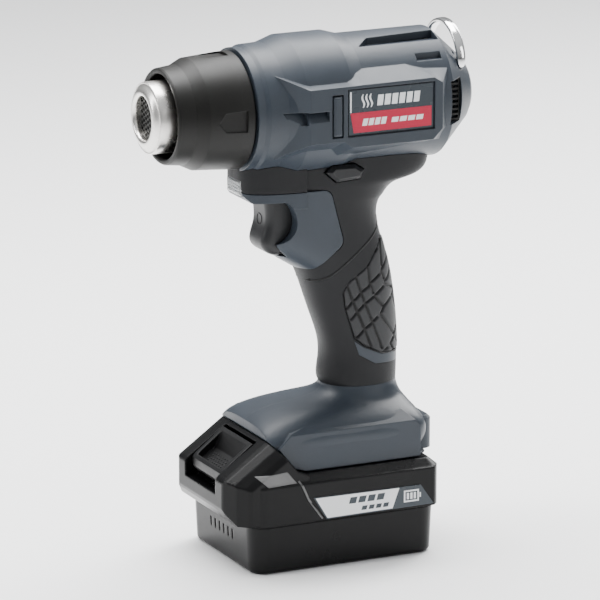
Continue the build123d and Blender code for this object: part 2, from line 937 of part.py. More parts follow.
with BuildPart() as trigger_switch:
    add(slab(SWITCH_FRONT, 19.0, -9.0, 9.0, 152.0, 176.0))
    plunger_bore = Plane.YZ.offset(SWITCH_FRONT)
    with BuildSketch(plunger_bore):
        with Locations((0, 165.0)):
            Circle(PLUNGER_RADIUS + 0.3)
    extrude(amount=9.0, mode=Mode.SUBTRACT)
    for y in (-5.0, 5.0):
        add(slab(6.0, 9.0, y - 1.5, y + 1.5, 146.0, 152.0))
save(trigger_switch, "trigger_switch")

with BuildPart() as lock_button:
    near_head = side_prism(LOCK_OUTLINE, -21.4, -16.2)
    far_head = side_prism(LOCK_OUTLINE, 12.3, 17.3)
    add(near_head)
    chamfer(lock_button.faces().sort_by(Axis.Y)[0].edges(), 1.8)
    add(far_head)
    add(slab(4.0, 12.2, -16.4, 12.5, 187.8, 192.2))
save(lock_button, "lock_button")

with BuildPart() as led_lens:
    add(slab(-42.3, -37.0, -7.4, 7.4, 182.3, 189.7))
    chamfer(led_lens.faces().sort_by(Axis.X)[0].edges(), 0.8)
save(led_lens, "led_lens")

with BuildPart() as led_board:
    add(slab(-36.8, -35.4, -8.6, 8.6, 181.3, 190.7))
    add(slab(-37.0, -36.8, -2.0, 2.0, 184.0, 188.0))
save(led_board, "led_board")

with BuildPart() as control_board:
    add(slab(-16.0, 34.0, -21.0, 21.0, 64.0, 65.6))
    add(slab(-12.0, -4.0, -14.0, -4.0, 65.6, 67.4))
    add(slab(0.0, 8.0, 6.0, 16.0, 65.6, 67.6))
save(control_board, "control_board")

with BuildPart() as terminal_block:
    add(slab(3.0, 41.0, -15.6, 15.6, 57.6, 59.8))
    add(slab(6.0, 34.0, -15.6, 15.6, 59.8, 63.0))
save(terminal_block, "terminal_block")

BLADE_ROWS = (-12.0, -5.0, 5.0, 12.0)

with BuildPart() as tool_blades:
    for y in BLADE_ROWS:
        add(slab(18.0, 38.0, y - 0.45, y + 0.45, 51.8, 57.6))
save(tool_blades, "tool_blades")

with BuildPart() as power_leads:
    for y in (-5.0, 5.0):
        with BuildLine() as route:
            Spline((21.0, y, 67.0), (22.0, y, 90.0), (19.0, y, 115.0), (9.0, y, 140.0), (7.5, y, 145.8))
        with BuildSketch(Plane(origin=route.line @ 0, z_dir=route.line % 0)):
            Circle(1.3)
        sweep(path=route.line)
save(power_leads, "power_leads")


# ---------------------------------------------------------------- battery

NOSE_ALONG = Vector(cos(radians(NOSE_ANGLE)), 0, sin(radians(NOSE_ANGLE)))
NOSE_UP = Vector(-sin(radians(NOSE_ANGLE)), 0, cos(radians(NOSE_ANGLE)))
SLOPE = Plane(origin=(NOSE_FRONT, 0, NOSE_EDGE), x_dir=NOSE_ALONG, z_dir=NOSE_UP)
SLOPE_END = Plane(origin=(NOSE_FRONT, 0, NOSE_EDGE), x_dir=(0, 1, 0), z_dir=NOSE_ALONG)
POCKET_DEPTH = 10.5
POCKET_HALF_WIDTH = 17.9
LATCH_HALF_WIDTH = 17.2
LATCH_SPRINGS = (-12.0, 12.0)


def on_slope(start, length, width, radius, low, high):
    """A rounded block lying on the nose's slope, between two heights from its surface."""
    with BuildPart() as block:
        with BuildSketch(SLOPE.offset(low)):
            with Locations((start + length / 2, 0)):
                RectangleRounded(length, width, radius)
        extrude(amount=high - low)
    return block.part


def latch_pocket():
    """Room for the latch button: open at the slope and at the top of the front face."""
    outline = (
        (-38.8, 61.7),
        (-32.8, 53.1),
        (-55.0, 37.6),
        (-66.0, 38.8),
        (-66.0, 80.0),
        (-38.8, 80.0),
    )
    return side_prism(outline, -POCKET_HALF_WIDTH, POCKET_HALF_WIDTH)


def case_block(length, width, radius, z0, z1, taper=0.0):
    """A rounded block centred over the upper case."""
    with BuildPart() as block:
        with BuildSketch(Plane.XY.offset(z0)):
            with Locations(((CASE_FRONT + CASE_REAR) / 2, 0)):
                RectangleRounded(length, width, radius)
        extrude(amount=z1 - z0, taper=taper)
    return block.part


NOSE_CORNER = (
    (-62.0, 22.0),
    (-60.6, 26.4),
    (-56.4, 32.6),
    (-51.6, 37.0),
    (-48.0, 38.95),
    (-48.0, 45.0),
    (-62.0, 45.0),
)
NOSE_FLANK = (
    (24.0, 0.05),
    (27.6, -0.6),
    (31.6, -2.9),
    (35.6, -6.2),
    (38.6, -9.4),
    (50.0, -9.4),
    (50.0, 10.0),
    (24.0, 10.0),
)


def nose_shape():
    """Wedge at the front of the battery, with bevelled corners and flanks."""
    outline = (
        (-56.0, TUB_HEIGHT + 1.0),
        (-60.2, 30.4),
        (NOSE_FRONT, 32.4),
        (NOSE_FRONT, 44.9),
        (-60.6, 46.0),
        (-59.5, 47.25),
        (-36.74, 63.18),
        (-25.7, 50.2),
        (-19.4, DECK),
        (-19.4, TUB_HEIGHT + 1.0),
    )
    wedge = side_prism(outline, -37.8, 37.8)
    with BuildPart() as corner:
        with BuildSketch(Plane.XY.offset(20)):
            with BuildLine():
                Polyline(*NOSE_CORNER, close=True)
            make_face()
        extrude(amount=60)
    with BuildPart() as flank:
        with BuildSketch(SLOPE_END.offset(-20)):
            with BuildLine():
                Polyline(*NOSE_FLANK, close=True)
            make_face()
        extrude(amount=80)
    with BuildPart() as nose:
        add(wedge)
        add(mirrored_pair(corner.part), mode=Mode.SUBTRACT)
        add(mirrored_pair(flank.part), mode=Mode.SUBTRACT)
    return nose.part


with BuildPart() as battery_lower_case:
    with BuildSketch():
        RectangleRounded(TUB_LENGTH, TUB_WIDTH, 8.0)
    extrude(amount=TUB_HEIGHT, taper=-TUB_DRAFT)
    fillet(battery_lower_case.edges().group_by(Axis.Z)[0], 2.2)
    with BuildSketch(Plane.XY.offset(2.2)):
        RectangleRounded(TUB_LENGTH - 4.0, TUB_WIDTH - 4.0, 6.0)
    extrude(amount=TUB_HEIGHT, taper=-TUB_DRAFT, mode=Mode.SUBTRACT)
    for slit in range(6):
        y = -12.5 + 5.0 * slit
        add(slab(-55.0, -44.0, y - 0.7, y + 0.7, 12.6, 17.4), mode=Mode.SUBTRACT)
save(battery_lower_case, "battery_lower_case")

with BuildPart() as battery_upper_case:
    case_length = CASE_REAR - CASE_FRONT
    add(case_block(case_length, 2 * CASE_HALF_WIDTH, 8.0, TUB_HEIGHT + 0.1, CASE_SHOULDER))
    add(case_block(case_length, 2 * CASE_HALF_WIDTH, 8.0, CASE_SHOULDER, DECK, taper=50))
    add(nose_shape())
    panel_outline = ((-24.7, 44.0), (-21.0, 35.8), (-11.3, 24.6), (47.5, 24.6), (47.5, 44.0))
    add(mirrored_pair(side_prism(panel_outline, CASE_HALF_WIDTH - 1.0, CASE_HALF_WIDTH + 0.6)))
    add(slab(-33.0, RAIL_END, -RAIL_NECK_HALF, RAIL_NECK_HALF, DECK - 1, RAIL_HEAD_BOTTOM + 0.5))
    add(slab(-33.0, RAIL_END, -RAIL_HEAD_HALF, RAIL_HEAD_HALF, RAIL_HEAD_BOTTOM, RAIL_HEAD_TOP))
    add(case_block(case_length - 5, 2 * CASE_HALF_WIDTH - 5, 6.0, TUB_HEIGHT - 1, 40.4), mode=Mode.SUBTRACT)
    add(slab(-36.0, 45.0, -30.0, 30.0, 40.0, 44.4), mode=Mode.SUBTRACT)
    add(latch_pocket(), mode=Mode.SUBTRACT)
    for side in LATCH_SPRINGS:
        post = on_slope(9.0, 1.5, 3.0, 0.4, -POCKET_DEPTH - 1, -7.2)
        add(Pos(0, side, 0) * post)
    for y in BLADE_ROWS:
        add(slab(16.0, RAIL_END + 1, y - 1.7, y + 1.7, 44.0, 60.0), mode=Mode.SUBTRACT)
save(battery_upper_case, "battery_upper_case")

LATCH_BODY = (
    (-40.6, 60.8),
    (-41.8, 60.0),
    (-56.0, 49.2),
    (-57.5, 47.6),
    (-58.1, 44.0),
    (-57.4, 42.4),
    (-55.8, 41.3),
    (-53.1, 40.1),
    (-35.6, 52.4),
)
LATCH_SCOOP = (
    (-41.8, 61.0),
    (-46.2, 51.6),
    (-55.4, 45.8),
    (-56.0, 50.0),
    (-48.0, 70.0),
)

with BuildPart() as latch_button:
    add(side_prism(LATCH_BODY, -LATCH_HALF_WIDTH, LATCH_HALF_WIDTH))
    add(on_slope(0.3, 40.0, 2 * LATCH_HALF_WIDTH, 5.5, -14.0, 12.0), mode=Mode.INTERSECT)
    with BuildPart(mode=Mode.PRIVATE) as scoop:
        add(side_prism(LATCH_SCOOP, -LATCH_HALF_WIDTH, LATCH_HALF_WIDTH))
        add(on_slope(3.8, 40.0, 28.8, 4.5, -14.0, 40.0), mode=Mode.INTERSECT)
    add(scoop.part, mode=Mode.SUBTRACT)
    for side in LATCH_SPRINGS:
        add(Pos(0, side, 0) * on_slope(5.0, 13.0, 4.0, 0.4, -12.0, -6.2), mode=Mode.SUBTRACT)
save(latch_button, "latch_button")

with BuildPart() as latch_springs:
    for side in LATCH_SPRINGS:
        for turn in range(5):
            start = 10.8 + 1.55 * turn
            with BuildSketch(Plane(origin=SLOPE.from_local_coords((start, side, -7.9)), z_dir=NOSE_ALONG)):
                Circle(1.2)
                Circle(0.7, mode=Mode.SUBTRACT)
            extrude(amount=0.7)
save(latch_springs, "latch_springs")

for row, height in enumerate(CELL_ROWS):
    for column in range(5):
        x = CELL_PITCH * (column - 2)
        with BuildPart() as cell:
            add(cross_rod(x, height, CELL_RADIUS, -CELL_LENGTH / 2, CELL_LENGTH / 2))
            fillet(cell.edges(), 0.8)
        save(cell, f"battery_cell_{row * 5 + column + 1:02d}")

for side, name in ((-1, "cell_holder_left"), (1, "cell_holder_right")):
    with BuildPart() as holder:
        middle = 28.0 * side
        add(slab(-46.1, 46.1, middle - 3.0, middle + 3.0, 2.6, 39.9))
        for height in CELL_ROWS:
            for column in range(5):
                x = CELL_PITCH * (column - 2)
                add(cross_rod(x, height, CELL_RADIUS + 0.03, middle - 4, middle + 4), mode=Mode.SUBTRACT)
    save(holder, name)

for side, name in ((-1, "cell_strips_left"), (1, "cell_strips_right")):
    with BuildPart() as strips:
        for column in range(5):
            x = CELL_PITCH * (column - 2)
            y0, y1 = sorted((side * CELL_LENGTH / 2, side * (CELL_LENGTH / 2 + 0.3)))
            add(slab(x - 3.5, x + 3.5, y0, y1, 8.0, 34.4))
    save(strips, name)

with BuildPart() as battery_board:
    add(slab(-34.0, 43.0, -28.0, 28.0, 41.0, 42.6))
    add(slab(-20.0, -10.0, -6.0, 6.0, 42.6, 44.0))
save(battery_board, "battery_board")

with BuildPart() as battery_contacts:
    for y in BLADE_ROWS:
        for side in (-1, 1):
            y0, y1 = sorted((y + side * 0.75, y + side * 1.25))
            add(slab(20.0, 34.0, y0, y1, 46.0, 55.6))
        add(slab(20.0, 34.0, y - 1.25, y + 1.25, 42.6, 46.4))
save(battery_contacts, "battery_contacts")

LABEL_OUTLINE = ((-18.5, 36.7), (39.6, 36.0), (46.8, 25.6), (-11.5, 25.0))

with BuildPart() as battery_label_left:
    add(side_prism(LABEL_OUTLINE, -CASE_HALF_WIDTH - 1.0, -CASE_HALF_WIDTH - 0.6))
save(battery_label_left, "battery_label_left")

with BuildPart() as battery_label_right:
    add(side_prism(LABEL_OUTLINE, CASE_HALF_WIDTH + 0.6, CASE_HALF_WIDTH + 1.0))
save(battery_label_right, "battery_label_right")
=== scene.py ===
import math

import bpy
import numpy as np
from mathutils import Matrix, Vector
from mathutils.bvhtree import BVHTree


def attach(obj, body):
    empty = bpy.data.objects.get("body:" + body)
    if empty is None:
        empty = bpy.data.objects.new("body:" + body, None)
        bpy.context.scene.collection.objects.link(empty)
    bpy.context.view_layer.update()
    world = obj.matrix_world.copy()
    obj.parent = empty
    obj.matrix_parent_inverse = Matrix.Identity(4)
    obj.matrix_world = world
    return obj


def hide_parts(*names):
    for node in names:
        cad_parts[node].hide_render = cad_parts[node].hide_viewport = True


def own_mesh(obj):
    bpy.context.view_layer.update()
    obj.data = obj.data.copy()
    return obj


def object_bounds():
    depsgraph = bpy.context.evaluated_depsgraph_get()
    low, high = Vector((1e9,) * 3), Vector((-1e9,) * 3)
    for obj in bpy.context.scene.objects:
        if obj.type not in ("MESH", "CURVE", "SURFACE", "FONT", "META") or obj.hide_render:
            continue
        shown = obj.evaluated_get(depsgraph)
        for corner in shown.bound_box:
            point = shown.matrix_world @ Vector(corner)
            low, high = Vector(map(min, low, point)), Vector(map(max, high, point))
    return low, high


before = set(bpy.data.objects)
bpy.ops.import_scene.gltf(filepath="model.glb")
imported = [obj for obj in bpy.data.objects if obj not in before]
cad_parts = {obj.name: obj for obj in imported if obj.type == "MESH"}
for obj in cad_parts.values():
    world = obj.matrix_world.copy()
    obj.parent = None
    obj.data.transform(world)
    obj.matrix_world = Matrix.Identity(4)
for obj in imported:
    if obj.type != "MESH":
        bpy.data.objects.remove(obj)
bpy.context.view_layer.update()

MM = 0.001
# Distances from the middle plane, in m, from which surfaces are searched
FAR_OUT = 0.05
NEAR_MIDDLE = 0.010

# Camera: a long lens, a quarter of the way round to the nozzle and a little above
CAMERA_AZIMUTH = math.radians(25.36)
CAMERA_ELEVATION = math.radians(14.68)
CAMERA_DISTANCE = 2.4428
CAMERA_TARGET = Vector((-0.00696, 0, 0.12525))
CAMERA_LENS = 300

# Colours, as linear RGB
BLUE_GREY = (0.022, 0.029, 0.039)
CHARCOAL = (0.0080, 0.0083, 0.0094)
PAD_GREY = (0.015, 0.0155, 0.0170)
WARM_BLACK = (0.0042, 0.0040, 0.0034)
SATIN_BLACK = (0.0020, 0.0020, 0.0023)
CRIMSON = (0.40, 0.006, 0.035)
SLATE = (0.024, 0.032, 0.040)
STEEL = (0.62, 0.60, 0.57)
SCREW_GREY = (0.08, 0.08, 0.085)
GRILLE_GREY = (0.05, 0.05, 0.048)

# Places on the CAD model, in mm
LABEL_FACE = 35.70
LABEL_MIRROR = 49.0
BATTERY_FACE = 39.90
BATTERY_LABEL_FACE = 39.95
HOOK_X = 71.0
HOOK_Z = 239.5
HOOK_RADIUS = 18.25
RING_HEIGHT = 168.6
TRIGGER_SPRING_HEIGHT = 165.0
SLOPE_START = (-61.0, 46.2)
SLOPE_ANGLE = math.radians(35.0)
SCOOP_START = (-54.0, 46.6)
SCOOP_ANGLE = math.radians(32.1)
LATCH_SPRING_SIDES = (-12.0, 12.0)
LATCH_SPRING_DEPTH = -7.9
LENS_FRONT = -42.35

# Studio
FLOOR_HALF = 6.0
FLOOR_GAP = 0.0002
FLOOR_WHITE = 0.93
SKY_COLOUR = (0.96, 0.98, 1.0)
SKY_LOW = 0.14
SKY_HIGH = 0.85
LIGHT_TARGET = (0, 0, 0.14)
LIGHTS = (
    ("top_box", (0.0, 0.30, 1.2), (1.2, 0.8), 50),
    ("front_strip", (-1.3, 0.35, 0.85), (0.25, 1.0), 9),
    ("back_strip", (1.0, 0.55, 0.9), (0.5, 1.0), 20),
    ("side_box", (0.9, -1.2, 0.7), (0.3, 0.8), 4),
)


# ---------------------------------------------------------------- camera and light

def make_camera():
    data = bpy.data.cameras.new("camera")
    data.lens = CAMERA_LENS
    data.sensor_width = 36
    data.clip_start = 0.1
    data.clip_end = 20
    camera = bpy.data.objects.new("camera", data)
    bpy.context.scene.collection.objects.link(camera)
    flat = math.cos(CAMERA_ELEVATION)
    look = Vector(
        (
            math.sin(CAMERA_AZIMUTH) * flat,
            math.cos(CAMERA_AZIMUTH) * flat,
            -math.sin(CAMERA_ELEVATION),
        )
    )
    camera.location = CAMERA_TARGET - look * CAMERA_DISTANCE
    camera.rotation_euler = look.to_track_quat("-Z", "Y").to_euler()
    bpy.context.scene.camera = camera


def area_light(name, place, size, power):
    data = bpy.data.lights.new(name, "AREA")
    data.shape = "RECTANGLE"
    data.size, data.size_y = size
    data.energy = power
    lamp = bpy.data.objects.new(name, data)
    bpy.context.scene.collection.objects.link(lamp)
    lamp.location = place
    lamp.rotation_euler = (Vector(LIGHT_TARGET) - Vector(place)).to_track_quat("-Z", "Y").to_euler()


def make_studio():
    world = bpy.data.worlds.new("studio")
    bpy.context.scene.world = world
    world.use_nodes = True
    tree = world.node_tree
    sky = tree.nodes["Background"]
    sky.inputs["Color"].default_value = (*SKY_COLOUR, 1)
    place = tree.nodes.new("ShaderNodeTexCoord")
    split = tree.nodes.new("ShaderNodeSeparateXYZ")
    tree.links.new(place.outputs["Generated"], split.inputs[0])
    lift = tree.nodes.new("ShaderNodeMapRange")
    tree.links.new(split.outputs["Z"], lift.inputs["Value"])
    for key, value in (("From Min", 0.0), ("From Max", 0.8), ("To Min", SKY_LOW), ("To Max", SKY_HIGH)):
        lift.inputs[key].default_value = value
    tree.links.new(lift.outputs["Result"], sky.inputs["Strength"])
    for name, lamp_place, size, power in LIGHTS:
        area_light(name, lamp_place, size, power)


def make_floor():
    mesh = bpy.data.meshes.new("floor")
    signs = ((-1, -1), (1, -1), (1, 1), (-1, 1))
    mesh.from_pydata([(x * FLOOR_HALF, y * FLOOR_HALF, 0) for x, y in signs], [], [(0, 1, 2, 3)])
    floor = bpy.data.objects.new("floor", mesh)
    bpy.context.scene.collection.objects.link(floor)
    floor.location.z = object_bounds()[0].z - FLOOR_GAP
    surface = bpy.data.materials.new("floor")
    surface.use_nodes = True
    shader = surface.node_tree.nodes["Principled BSDF"]
    shader.inputs["Base Color"].default_value = (FLOOR_WHITE, FLOOR_WHITE, FLOOR_WHITE, 1)
    shader.inputs["Roughness"].default_value = 0.6
    mesh.materials.append(surface)


# ---------------------------------------------------------------- materials

class Surface:
    """A material whose nodes are added one by one, in object coordinates."""

    def __init__(self, name, roughness, metallic=0.0, specular=0.5):
        self.material = bpy.data.materials.new(name)
        self.material.use_nodes = True
        self.tree = self.material.node_tree
        self.shader = self.tree.nodes["Principled BSDF"]
        self.shader.inputs["Roughness"].default_value = roughness
        self.shader.inputs["Metallic"].default_value = metallic
        self.shader.inputs["Specular IOR Level"].default_value = specular
        self.place = self.add("ShaderNodeTexCoord").outputs["Object"]

    def add(self, kind, inputs=None, **settings):
        node = self.tree.nodes.new(kind)
        for key, value in settings.items():
            setattr(node, key, value)
        for key, value in (inputs or {}).items():
            if isinstance(value, bpy.types.NodeSocket):
                self.tree.links.new(value, node.inputs[key])
            else:
                node.inputs[key].default_value = value
        return node

    def link(self, output, socket):
        self.tree.links.new(output, self.shader.inputs[socket])

    def noise(self, scale, detail=3.0, roughness=0.5, stretch=(1, 1, 1)):
        mapping = self.add("ShaderNodeMapping", {"Vector": self.place, "Scale": stretch})
        node = self.add(
            "ShaderNodeTexNoise",
            {"Vector": mapping.outputs["Vector"], "Scale": scale, "Detail": detail, "Roughness": roughness},
        )
        return node.outputs["Fac"]

    def spread(self, value, low, high, start=0.3, end=0.7):
        """Maps value from start..end to low..high."""
        node = self.add(
            "ShaderNodeMapRange",
            {"Value": value, "From Min": start, "From Max": end, "To Min": low, "To Max": high},
        )
        return node.outputs["Result"]

    def mix(self, factor, first, second):
        node = self.add("ShaderNodeMix", data_type="RGBA")
        for index, value in ((6, first), (7, second)):
            if isinstance(value, bpy.types.NodeSocket):
                self.tree.links.new(value, node.inputs[index])
            else:
                node.inputs[index].default_value = (*value, 1)
        if isinstance(factor, bpy.types.NodeSocket):
            self.tree.links.new(factor, node.inputs[0])
        else:
            node.inputs[0].default_value = factor
        return node.outputs[2]

    def bump(self, height, distance, strength=1.0, soft_edge=0.0):
        inputs = {"Height": height, "Distance": distance, "Strength": strength}
        if soft_edge:
            inputs["Normal"] = self.add("ShaderNodeBevel", {"Radius": soft_edge}, samples=6).outputs["Normal"]
        self.link(self.add("ShaderNodeBump", inputs).outputs["Normal"], "Normal")


def moulded(
    name, colour, roughness, grain=0.00004, soft_edge=0.0007, specular=0.35, fleck=0.10, groove=False
):
    """Moulded plastic or rubber: spark-eroded grain, slight mottling and softened edges; with groove set,
    painted shade darkens the pad's grooves and rolled edges.
    """
    surface = Surface(name, roughness, specular=specular)
    cloud = surface.noise(38.0, 4.0)
    fine = surface.noise(2600.0, 2.0, 0.6)
    darker = tuple(c * (1 - fleck) for c in colour)
    lighter = tuple(c * (1 + fleck) for c in colour)
    tone = surface.mix(surface.spread(cloud, 0, 1), darker, lighter)
    speck = surface.mix(surface.spread(fine, 0, 0.25, 0.45, 0.75), tone, tuple(c * 1.6 for c in colour))
    # painted shade: the groove attribute darkens the base colour towards black in the pad's grooves and on
    # its rolled edges
    if groove:
        depth = surface.add("ShaderNodeAttribute", attribute_name="groove").outputs["Fac"]
        speck = surface.mix(surface.spread(depth, 0, 0.92, 0.1, 0.8), speck, (0.001, 0.001, 0.001))
    surface.link(speck, "Base Color")
    surface.link(surface.spread(cloud, roughness - 0.05, roughness + 0.05), "Roughness")
    surface.bump(fine, grain, 1.0, soft_edge)
    return surface.material


def clear_plastic(name):
    """Clear plastic with faint clouds."""
    surface = Surface(name, 0.08)
    surface.shader.inputs["Transmission Weight"].default_value = 0.7
    cloud = surface.spread(surface.noise(300.0), 0, 1)
    surface.link(surface.mix(cloud, (0.78, 0.82, 0.84), (1, 1, 1)), "Base Color")
    return surface.material


def steel(name, colour, roughness, tip_colour=None):
    """Turned steel: fine rings round the barrel's axis and faint smudges."""
    surface = Surface(name, roughness, metallic=1.0)
    rings = surface.noise(9000.0, 2.0, 0.5, (1, 0.02, 0.02))
    smudge = surface.noise(60.0, 3.0)
    tone = surface.mix(surface.spread(smudge, 0, 1), tuple(c * 0.9 for c in colour), colour)
    if tip_colour:
        # lighter steel towards the nozzle's tip, blended in from X -83.5 mm to -90.5 mm
        axis = surface.add("ShaderNodeSeparateXYZ", {"Vector": surface.place}).outputs["X"]
        toward_tip = surface.spread(axis, 1, 0, -0.0905, -0.0835)
        tone = surface.mix(toward_tip, tone, tip_colour)
    surface.link(tone, "Base Color")
    surface.link(surface.spread(smudge, roughness - 0.06, roughness + 0.08), "Roughness")
    surface.bump(rings, 0.00001, 0.6, 0.0003)
    return surface.material


def paint(names, material):
    """Gives CAD nodes one material."""
    for name in names:
        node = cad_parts[name]
        node.data.materials.clear()
        node.data.materials.append(material)


def matching(*starts):
    return [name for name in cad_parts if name.startswith(starts)]


# ---------------------------------------------------------------- mesh helpers

def new_piece(name, vertices, faces, material, body, replaced=(), slot=None, smooth=True):
    """A mesh piece in metres that rides on a CAD body."""
    mesh = bpy.data.meshes.new(name)
    mesh.from_pydata([tuple(v) for v in vertices], [], faces)
    mesh.validate()
    mesh.update()
    if smooth:
        mesh.polygons.foreach_set("use_smooth", [True] * len(mesh.polygons))
    piece = bpy.data.objects.new(name, mesh)
    bpy.context.scene.collection.objects.link(piece)
    mesh.materials.append(material)
    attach(piece, body)
    if replaced:
        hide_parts(*replaced)
    return piece


def grid_faces(rows, columns, start=0, flip=False):
    """Faces of a grid of vertices stored row by row."""
    faces = []
    for row in range(rows - 1):
        for column in range(columns - 1):
            a = start + row * columns + column
            face = (a, a + 1, a + columns + 1, a + columns)
            faces.append(face[::-1] if flip else face)
    return faces


def tube_faces(steps, around, closed=False):
    """Faces of a tube stored ring by ring, joined end to end or capped at both ends."""
    faces = []
    for i in range(steps if closed else steps - 1):
        for j in range(around):
            n, k = (i + 1) % steps, (j + 1) % around
            faces.append((i * around + j, i * around + k, n * around + k, n * around + j))
    if not closed:
        faces.append(tuple(range(around))[::-1])
        faces.append(tuple(range((steps - 1) * around, steps * around)))
    return faces


def shell(points, normals, thickness, flip=False):
    """Closes a grid of points into a skin of the given thickness."""
    rows, columns = points.shape[:2]
    inner = points - normals * thickness
    vertices = np.concatenate((points.reshape(-1, 3), inner.reshape(-1, 3)))
    count = rows * columns
    faces = grid_faces(rows, columns, 0, flip) + grid_faces(rows, columns, count, not flip)
    edge = list(range(columns))
    edge += [row * columns + columns - 1 for row in range(1, rows)]
    edge += [(rows - 1) * columns + column for column in range(columns - 2, -1, -1)]
    edge += [row * columns for row in range(rows - 2, 0, -1)]
    for here, there in zip(edge, edge[1:] + edge[:1]):
        face = (here, here + count, there + count, there)
        faces.append(face[::-1] if flip else face)
    return vertices, faces


def surface_of(*names):
    """Search trees over CAD nodes' faces, in metres."""
    trees = []
    for name in names:
        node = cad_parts[name]
        corners = [node.matrix_world @ vertex.co for vertex in node.data.vertices]
        trees.append(BVHTree.FromPolygons(corners, [tuple(face.vertices) for face in node.data.polygons]))
    return trees


def cast(trees, origin, direction):
    """Nearest hit of a ray on any of the trees."""
    best = None
    for tree in trees:
        point, _, _, distance = tree.ray_cast(origin, direction)
        if point is not None and (best is None or distance < best[1]):
            best = (point, distance)
    return best[0] if best else None


def grid_normals(points, side):
    """Unit normals of a grid of points, all to the outside."""
    normals = np.cross(np.gradient(points, axis=0), np.gradient(points, axis=1))
    normals /= np.linalg.norm(normals, axis=2, keepdims=True) + 1e-12
    return normals if side * normals[:, :, 1].mean() > 0 else -normals


def distance_to_lines(points, lines):
    """Distance of each point to the nearest of several polylines."""
    nearest = np.full(len(points), 1.0)
    for line in lines:
        for start, end in zip(line, line[1:]):
            along = end - start
            share = np.clip(((points - start) @ along) / max(along @ along, 1e-12), 0, 1)
            gap = np.linalg.norm(points - start - share[:, None] * along, axis=1)
            nearest = np.minimum(nearest, gap)
    return nearest


# ---------------------------------------------------------------- grip pads

# Front edge of the pad by height, and its grooves as (x, z) lines seen from the side, in mm
PAD_EDGE = (
    (97.3, 39.0), (98.6, 29.4), (102.9, 20.2), (107.0, 15.2), (115.0, 12.5), (123.0, 9.9),
    (130.5, 8.8), (133.5, 9.4), (136.2, 11.2), (143.2, 21.4), (149.0, 25.8), (155.0, 30.2), (156.6, 33.0),
)
PAD_GROOVES = (
    ((10.3, 134.7), (13.8, 125.7), (16.3, 120.0), (20.0, 111.8), (23.8, 101.8)),
    ((14.5, 140.0), (17.7, 130.8), (20.5, 123.7), (23.9, 115.9), (29.9, 100.9)),
    ((27.8, 150.8), (21.4, 145.7), (22.5, 135.7), (24.0, 132.3), (24.8, 129.5)),
    ((25.6, 127.5), (30.6, 122.1)),
    ((29.1, 118.3), (37.6, 106.5)),
    ((30.8, 155.6), (29.9, 150.7), (30.2, 142.3)),
    ((29.9, 139.3), (31.7, 135.3)),
    ((31.9, 133.5), (37.6, 129.7)),
    ((35.3, 102.1), (39.0, 96.2)),
    ((10.6, 122.7), (13.3, 126.2), (15.6, 127.9), (17.7, 130.4), (22.0, 133.0), (23.0, 134.7), (28.3, 137.9)),
    ((30.0, 140.2), (32.3, 142.3), (34.7, 145.0), (36.0, 148.5)),
    ((13.0, 117.0), (16.2, 120.9), (19.5, 124.2), (25.1, 127.6), (30.9, 131.5)),
    ((31.9, 133.5), (34.8, 135.9), (37.0, 139.5)),
    ((16.2, 107.5), (20.3, 111.8), (24.1, 114.5), (27.0, 116.9)),
    ((29.1, 118.3), (31.2, 121.6), (37.6, 126.2), (39.5, 130.5)),
    ((30.5, 98.5), (33.4, 100.3)),
    ((35.3, 102.1), (37.5, 104.7), (40.0, 109.5)),
    ((37.6, 106.5), (41.2, 101.5)),
    ((37.6, 126.2), (40.0, 119.5)),
)
PAD_MIDDLE = ((96.0, 24.0), (108.0, 23.0), (123.0, 19.7), (142.0, 14.5), (157.0, 9.1))
PAD_BOTTOM = 97.6
PAD_TOP = 156.2
PAD_ROWS = 170
PAD_COLUMNS = 92
PAD_THICKNESS = 1.15
PAD_SMOOTHINGS = 3
PAD_LAST_ANGLE = 0.004
PAD_REACH = (21, 17.2)
CROWN_HEIGHT = 0.22
CROWN_WIDTH = 1.2
ROLL_DEPTH = 0.8
ROLL_WIDTH = 0.9
GROOVE_WIDTH = 0.60
GROOVE_DEPTH = 0.85


def by_height(table, height):
    heights, values = zip(*table)
    return np.interp(height, heights, values)


